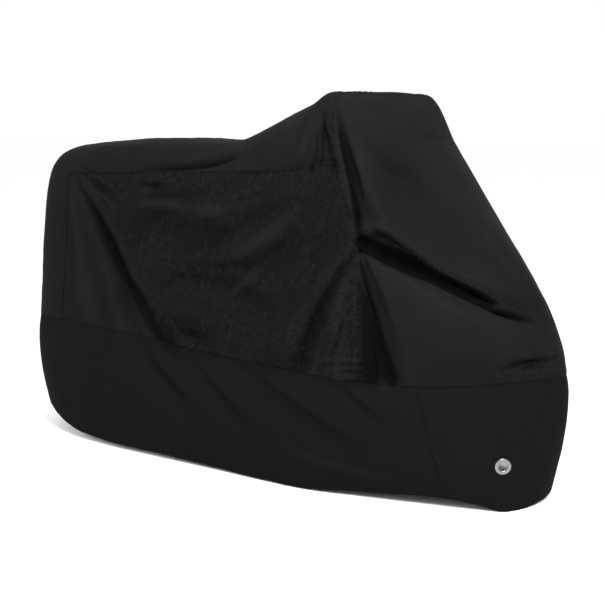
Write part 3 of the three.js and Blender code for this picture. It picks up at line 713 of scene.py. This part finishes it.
def cloth_finish(name, dark, pale, roughness, shine, weave_pitch, sheen):
    """Woven cloth whose pattern follows its own map, in metres along and across the panel."""
    material = bpy.data.materials.new(name)
    material.use_nodes = True
    shader = material.node_tree.nodes["Principled BSDF"]
    shader.inputs["Specular IOR Level"].default_value = shine
    shader.inputs["Sheen Weight"].default_value = sheen
    shader.inputs["Sheen Roughness"].default_value = 0.5

    def node(kind, settings=None, **sockets):
        return add_node(material, kind, settings, **sockets)

    def reckon(operation, first, second=0.0):
        made = node("ShaderNodeMath", {"operation": operation})
        plug(made.inputs[0], first)
        plug(made.inputs[1], second)
        return made.outputs[0]

    place = node("ShaderNodeTexCoord").outputs["Object"]
    on_cloth = node("ShaderNodeUVMap", {"uv_map": "cloth"}).outputs["UV"]
    split = node("ShaderNodeSeparateXYZ", Vector=on_cloth).outputs
    warp = reckon("SINE", reckon("MULTIPLY", split["X"], math.pi / weave_pitch))
    weft = reckon("SINE", reckon("MULTIPLY", split["Y"], math.pi / weave_pitch))
    weave = reckon("MULTIPLY", warp, weft)
    slub = node("ShaderNodeTexNoise", Vector=on_cloth, Scale=900.0, Detail=1.0).outputs["Fac"]
    creasing = node("ShaderNodeTexNoise", Vector=place, Scale=70.0, Detail=5.0, Roughness=0.6)
    creased = reckon("ABSOLUTE", reckon("SUBTRACT", creasing.outputs["Fac"], 0.5))
    amount = node("ShaderNodeAttribute", {"attribute_name": "crumpled"}).outputs["Fac"]
    coarse = node("ShaderNodeBump", Height=reckon("MULTIPLY", creased, amount), Strength=0.9, Distance=0.012)
    fine = node(
        "ShaderNodeBump", Height=reckon("ADD", weave, slub), Strength=0.3, Distance=0.00012,
        Normal=coarse.outputs["Normal"])
    plug(shader.inputs["Normal"], fine.outputs["Normal"])

    # The colour is paler in broad patches of random tone and on worn ridges, and darker in painted shade
    # down in the folds and creases. The finest crease lines of the crumple get painted shade, and their
    # rises get painted highlights.
    patches = node("ShaderNodeTexNoise", Vector=place, Scale=5.0, Detail=3.0).outputs["Fac"]
    rub_and_shade = node("ShaderNodeAttribute", {"attribute_name": "rubbed"}).outputs["Fac"]
    # Painted shade along the crease lines of the crumple noise, and painted highlights on the rises between
    # them.
    crumple_shade = reckon("MULTIPLY", reckon("SUBTRACT", creased, 0.08), amount)
    paler = reckon("ADD", reckon("MULTIPLY", patches, 0.3), reckon("MULTIPLY", rub_and_shade, 0.75))
    paler = reckon("ADD", paler, reckon("MULTIPLY", crumple_shade, 1.8))
    colour = node("ShaderNodeMix", {"data_type": "RGBA"})
    share_in, dark_in, pale_in = colour.inputs[0], colour.inputs[6], colour.inputs[7]
    plug(share_in, paler)
    plug(dark_in, (*dark, 1))
    plug(pale_in, (*pale, 1))
    plug(shader.inputs["Base Color"], colour.outputs[2])
    spread = node(
        "ShaderNodeMapRange", Value=patches, From_Min=0.3, From_Max=0.7, To_Min=roughness - 0.05,
        To_Max=roughness + 0.07)
    plug(shader.inputs["Roughness"], spread.outputs["Result"])
    return material


# The darkest colour shows only in the painted shade of the deepest folds and creases.
coated_cloth = cloth_finish(
    "coated cloth", (0.0008, 0.0008, 0.0008), (0.0096, 0.0096, 0.0096), 0.5, 0.006, 0.0007, 0.002)

THICK, SAME_PLACE = 0.9 * MM, 1e-6
LAP = 3  # cells by which the lower cloth of a lapped seam goes on under the upper one
RAISED, SUNK, RAISED_TO, SUNK_TO, LIFT_ENDS = 1.0 * MM, -0.6 * MM, 8 * MM, 3 * MM, 18 * MM
cell_at_rib = np.arange(len(rib_places) - 1)[:, None]
cell_across = np.arange(2 * MIDDLE)[None, :]
cell_on_right = cell_across >= MIDDLE
cell_at_line = np.where(cell_on_right, cell_across - MIDDLE, MIDDLE - 1 - cell_across)


def cells_between(ribs, lines, side=None, lap=(0, 0, 0, 0)):
    """The cells between two ribs and two lines. Lap is the cells added before and after each."""
    first, last = thread_of_rib[ribs[0]] - lap[0], thread_of_rib[ribs[1]] + lap[1]
    top, bottom = thread_of_line[lines[0]] - lap[2], thread_of_line[lines[1]] + lap[3]
    inside = (cell_at_rib >= first) & (cell_at_rib < last) & (cell_at_line >= top) & (cell_at_line < bottom)
    if side:
        inside = inside & (cell_on_right if side == "right" else ~cell_on_right)
    return inside


def seam_lift(over=(), under=()):
    """How far the cloth stands out beside its seams, for distances measured into the panel."""
    lift = np.zeros(cover.shape[:2])
    for inside in over:
        lift = np.maximum(lift, RAISED * (1 - smooth(inside, RAISED_TO, LIFT_ENDS)))
    for inside in under:
        lift = lift + np.where(lift > SUNK, SUNK * (1 - smooth(inside, SUNK_TO, LIFT_ENDS)), 0)
    return lift


def cut_panel(name, cells, lift, material):
    """One panel of the cover, cut out of the drawn surface and given the thickness of its cloth."""
    ribs_used = np.nonzero(cells.any(axis=1))[0]
    lines_used = np.nonzero(cells.any(axis=0))[0]
    first, top = ribs_used[0], lines_used[0]
    count_along, count_across = ribs_used[-1] - first + 1, lines_used[-1] - top + 1
    bm = bmesh.new()
    bmesh.ops.create_grid(bm, x_segments=count_along, y_segments=count_across, size=0.5)
    mesh = bpy.data.meshes.new(name)
    bm.to_mesh(mesh)
    flat = np.empty(3 * len(mesh.vertices))
    mesh.vertices.foreach_get("co", flat)
    flat = flat.reshape(-1, 3)
    along = first + np.rint((flat[:, 0] + 0.5) * count_along).astype(int)
    across = top + np.rint((flat[:, 1] + 0.5) * count_across).astype(int)
    placed = (cover + facing * lift[..., None])[along, across]
    mesh.vertices.foreach_set("co", placed.ravel())
    corner_of = np.empty(len(mesh.loops), int)
    mesh.loops.foreach_get("vertex_index", corner_of)
    on_map = cloth_map[along, across][corner_of]
    mesh.uv_layers.new(name="cloth").uv.foreach_set("vector", on_map.ravel())
    for label, field in (("rubbed", rubbed), ("crumpled", crumpled)):
        mesh.attributes.new(label, "FLOAT", "POINT").data.foreach_set("value", field[along, across])
    bm.clear()
    bm.from_mesh(mesh)
    bm.faces.ensure_lookup_table()
    corners = corner_of.reshape(-1, 4)
    kept = cells[along[corners].min(axis=1), across[corners].min(axis=1)]
    bmesh.ops.delete(bm, geom=[bm.faces[k] for k in np.nonzero(~kept)[0]], context="FACES")
    bmesh.ops.remove_doubles(bm, verts=bm.verts, dist=SAME_PLACE)
    bmesh.ops.reverse_faces(bm, faces=bm.faces)
    for face in bm.faces:
        face.smooth = True
    bm.to_mesh(mesh)
    bm.free()
    mesh.materials.append(material)
    panel = stand(name, mesh)
    body = panel.modifiers.new("thickness of the cloth", "SOLIDIFY")
    body.thickness, body.offset = THICK, -1
    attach(panel, "root")
    return panel


def at_threads(values, along, across):
    """Values of the drawing between its threads."""
    i = np.clip(np.floor(along).astype(int), 0, values.shape[0] - 2)
    j = np.clip(np.floor(across).astype(int), 0, values.shape[1] - 2)
    u = (along - i).reshape(-1, *[1] * (values.ndim - 2))
    v = (across - j).reshape(-1, *[1] * (values.ndim - 2))
    return (
        (1 - u) * ((1 - v) * values[i, j] + v * values[i, j + 1])
        + u * ((1 - v) * values[i + 1, j] + v * values[i + 1, j + 1])
    )


def row_by_line(line, above, side, ribs):
    """Thread places of a row that runs beside a line, this far above it."""
    along = np.arange(thread_of_rib[ribs[0]], thread_of_rib[ribs[1]] + 1)
    step = 1 if side == "right" else -1
    below = past_line(line)[:, MIDDLE::step]
    across = np.array([
        MIDDLE + step * np.interp(-above, below[i], np.arange(len(below[i]))) for i in along])
    return along.astype(float), across


def row_by_rib(rib, ahead, lines, sides):
    """Thread places of a row that runs beside a rib, this far in front of it."""
    near_end, far_end = thread_of_line[lines[0]], thread_of_line[lines[1]]
    first = MIDDLE - far_end if "left" in sides else MIDDLE + near_end
    last = MIDDLE + far_end if "right" in sides else MIDDLE - near_end
    across = np.arange(first, last + 1)
    past = past_rib(rib)
    along = np.array([np.interp(ahead, past[:, j], np.arange(len(past))) for j in across])
    return along, across.astype(float)


def at_lengths(lengths, run, values):
    """Values at these lengths along a row, whose points lie at the lengths of its run."""
    return np.stack([np.interp(lengths, run, values[:, axis]) for axis in range(3)], axis=1)


STITCH_PITCH, STITCH_LONG, STITCH_WIDE, STITCH_HIGH = 5 * MM, 3.6 * MM, 0.9 * MM, 0.7 * MM
UNEVEN = 0.1  # of the pitch, either way


def sew(name, rows, lift, material):
    """Rows of lockstitch along the cloth, each stitch a small bead half sunk in it."""
    surface = cover + facing * lift[..., None]
    mesh = bpy.data.meshes.new(name)
    whole = bmesh.new()
    for along, across in rows:
        line = at_threads(surface, along, across)
        out = at_threads(facing, along, across)
        run = run_of(line, 0)
        spots = np.arange(STITCH_PITCH / 2, run[-1], STITCH_PITCH)
        spots = spots + chance.uniform(-UNEVEN, UNEVEN, len(spots)) * STITCH_PITCH
        ways = at_lengths(spots + MM, run, line) - at_lengths(spots - MM, run, line)
        bm = bmesh.new()
        for here, way, rise in zip(at_lengths(spots, run, line), ways, at_lengths(spots, run, out)):
            way, rise = Vector(way).normalized(), Vector(rise).normalized()
            across_way = rise.cross(way).normalized()
            turned = Matrix((way, across_way, rise)).transposed().to_4x4()
            size = Matrix.Diagonal((STITCH_LONG, STITCH_WIDE, STITCH_HIGH, 1))
            bmesh.ops.create_uvsphere(
                bm, u_segments=4, v_segments=2, radius=0.5,
                matrix=Matrix.Translation(Vector(here)) @ turned @ size)
        bm.to_mesh(mesh)
        bm.free()
        whole.from_mesh(mesh)
    whole.to_mesh(mesh)
    whole.free()
    mesh.materials.append(material)
    stitches = stand(name, mesh)
    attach(stitches, "root")
    return stitches


ROWS, HEM_ROW = (3 * MM, 9 * MM), 18 * MM  # the two rows of a seam and the row of the hem, from the edge
SIDES = ("left", "right")


def rows_above(line, ribs, sides=SIDES):
    """The two rows of a seam along a line."""
    return [row_by_line(line, row, side, ribs) for row in ROWS for side in sides]


# The top panel is one piece, from the tail over the flat saddle top and up the slope to the high
# ridge. Its lower edge is lapped over the side panels and sewn down with two rows of stitches.
top_cells = cells_between((0, TAIL_CORNER), (CROWN, BELT)) | cells_between(
    (TAIL_CORNER, FRONT_SEAM), (CROWN, RIM), lap=(0, LAP, 0, 0))
NO_SEAM = 1.0  # a metre away
below_edge = np.where(rib_at < TAIL_CORNER + 0.001, NO_SEAM, -below_rim)
corner_edge = np.where(line_at > RIM, -past_corner, NO_SEAM)
top_lift = seam_lift(over=(below_edge, corner_edge, -below_belt), under=(-past_front,))
top_panel = cut_panel("top_panel_cloth", top_cells, top_lift, coated_cloth)
top_rows = rows_above(RIM, (TAIL_CORNER, FRONT_SEAM)) + rows_above(BELT, (0, TAIL_CORNER))
top_rows += [row_by_rib(TAIL_CORNER, -row, (RIM, BELT), (side,)) for row in ROWS for side in SIDES]
top_stitches = sew("top_panel_stitches", top_rows, top_lift, coated_cloth)
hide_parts("top_panel")

# The hood goes from the high ridge down over the nose, and is one panel that is shaped by its
# folds. Its rear edge is lapped over the top and side panels with two rows of stitches.
hood_cells = cells_between((FRONT_SEAM, NOSE), (CROWN, BELT))
hood_lift = seam_lift(over=(past_front, -below_belt))
hood = cut_panel("front_hood_cloth", hood_cells, hood_lift, coated_cloth)
hood_rows = [row_by_rib(FRONT_SEAM, row, (CROWN, BELT), SIDES) for row in ROWS]
hood_rows += rows_above(BELT, (FRONT_SEAM, NOSE))
hood_stitches = sew("front_hood_stitches", hood_rows, hood_lift, coated_cloth)
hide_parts("front_hood")

# Each side panel lies under the edges of the top panel and the hood, and over the skirt. It is the
# most crumpled of the panels.
for side in ("right", "left"):
    side_cells = cells_between((TAIL_CORNER, FRONT_SEAM), (RIM, BELT), side, lap=(LAP, LAP, LAP, 0))
    side_lift = seam_lift(over=(-below_belt,), under=(past_corner, -past_front, below_rim))
    panel = cut_panel(f"side_panel_{side}_cloth", side_cells, side_lift, coated_cloth)
    rows = rows_above(BELT, (TAIL_CORNER, FRONT_SEAM), (side,))
    stitches = sew(f"side_panel_{side}_stitches", rows, side_lift, coated_cloth)
    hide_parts(f"side_panel_{side}")

# The skirt is a strip of a duller and darker cloth of the same weave. It hangs from under the edge
# of the upper panels, and its hem is gathered a little by the elastic.
skirt_cloth = cloth_finish(
    "skirt cloth", (0.0032, 0.0032, 0.0032), (0.006, 0.006, 0.006), 0.6, 0.005, 0.0009, 0.002)
for side in ("right", "left"):
    skirt_cells = cells_between((0, FRONT_STRIP), (BELT, HEM), side, lap=(0, LAP, LAP, TURNED))
    skirt_lift = seam_lift(under=(below_belt, -past_strip)) * (line_at <= HEM)
    panel = cut_panel(f"skirt_{side}_cloth", skirt_cells, skirt_lift, skirt_cloth)
    rows = [row_by_line(HEM, HEM_ROW, side, (0, FRONT_STRIP))]
    stitches = sew(f"skirt_{side}_stitches", rows, skirt_lift, skirt_cloth)
    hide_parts(f"skirt_{side}")

# The front skirt strip goes round the nose and holds an eyelet on each side. Its ends are lapped
# over the other skirts with two upright rows of stitches.
strip_cells = cells_between((FRONT_STRIP, NOSE), (BELT, HEM), lap=(0, 0, LAP, TURNED))
END_OF_LAP = 12 * MM
strip_edge = np.where(below_belt > END_OF_LAP, past_strip, NO_SEAM)
strip_lift = seam_lift(over=(strip_edge,), under=(below_belt,))
strip_lift *= line_at <= HEM
strip = cut_panel("skirt_front_cloth", strip_cells, strip_lift, skirt_cloth)
strip_rows = [row_by_line(HEM, HEM_ROW, side, (FRONT_STRIP, NOSE)) for side in SIDES]
strip_rows += [row_by_rib(FRONT_STRIP, row, (BELT, HEM), (side,)) for row in ROWS for side in SIDES]
strip_stitches = sew("skirt_front_stitches", strip_rows, strip_lift, skirt_cloth)
NEAR_FACE, NEAR_HOLE = 8 * MM, 1.6 * HOLE
bm = bmesh.new()
bm.from_mesh(strip.data)
for seat, axis in eyelet_seats.values():
    seat, axis = Vector(seat), Vector(axis)

    def from_axis(place, reach):
        """The way out from the axis of the eyelet to a place, or None past this reach."""
        away = place - seat
        around = away - axis * away.dot(axis)
        return around if around.length < reach and abs(away.dot(axis)) < NEAR_FACE else None

    cut_out = [face for face in bm.faces if from_axis(face.calc_center_median(), HOLE) is not None]
    bmesh.ops.delete(bm, geom=cut_out, context="FACES")
    for vert in bm.verts:
        around = from_axis(vert.co, NEAR_HOLE)
        if vert.is_boundary and around is not None:
            vert.co += around.normalized() * HOLE - around
bm.to_mesh(strip.data)
bm.free()
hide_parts("skirt_front")

# The eyelets are pressed from nickel-plated sheet steel. Each has a rolled flange in front, a barrel
# through the cloth and a washer behind, and is clenched over the edge of its hole.
nickel = bpy.data.materials.new("bright nickel")
nickel.use_nodes = True
shader = nickel.node_tree.nodes["Principled BSDF"]
shader.inputs["Base Color"].default_value = (0.19, 0.192, 0.2, 1)
shader.inputs["Metallic"].default_value = 1.0
where = add_node(nickel, "ShaderNodeTexCoord").outputs["Object"]
scratches = add_node(nickel, "ShaderNodeTexNoise", Vector=where, Scale=260.0).outputs["Fac"]
spread = add_node(nickel, "ShaderNodeMapRange", Value=scratches, To_Min=0.22, To_Max=0.42)
plug(shader.inputs["Roughness"], spread.outputs["Result"])

BARREL_IN, BARREL_OUT, FLANGE_RIM = 13.5, 14.7, 25.0  # millimetres from the middle
HEIGHTS_FROM = 1.0  # the heights count from a level this far in front of the face of the cloth
# Radius, then height: the rolled front, and the washer behind.
PROFILE = [
    (BARREL_OUT, 0.3), (18.0, 0.3), (22.0, 0.3), (24.4, 0.3), (FLANGE_RIM, 0.7), (24.7, 1.2), (23.2, 1.7),
    (21.0, 1.9), (18.5, 1.9), (16.0, 1.7), (14.6, 1.1), (13.8, 0.2), (BARREL_IN, -0.8), (BARREL_IN, -2.6),
    (13.9, -3.4), (14.9, -3.7), (18.0, -3.7), (22.0, -3.6), (24.0, -3.3), (24.3, -2.7), (23.6, -2.2),
    (18.0, -1.5), (BARREL_OUT, -1.4)]
for name, (seat, axis) in eyelet_seats.items():
    bm = bmesh.new()
    ring = [bm.verts.new((radius * MM, 0, (height + HEIGHTS_FROM) * MM)) for radius, height in PROFILE]
    edges = [bm.edges.new((a, b)) for a, b in zip(ring, ring[1:] + ring[:1])]
    bmesh.ops.spin(
        bm, geom=ring + edges, cent=(0, 0, 0), axis=(0, 0, 1), angle=2 * math.pi, steps=64, use_merge=True)
    bmesh.ops.remove_doubles(bm, verts=bm.verts, dist=SAME_PLACE)
    bmesh.ops.recalc_face_normals(bm, faces=bm.faces)
    turned = Vector(axis).to_track_quat("Z", "Y").to_matrix().to_4x4()
    bm.transform(Matrix.Translation(Vector(seat)) @ turned)
    for face in bm.faces:
        face.smooth = True
    mesh = bpy.data.meshes.new(f"{name}_metal")
    bm.to_mesh(mesh)
    bm.free()
    mesh.materials.append(nickel)
    eyelet = stand(f"{name}_metal", mesh)
    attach(eyelet, "root")
    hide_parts(name)
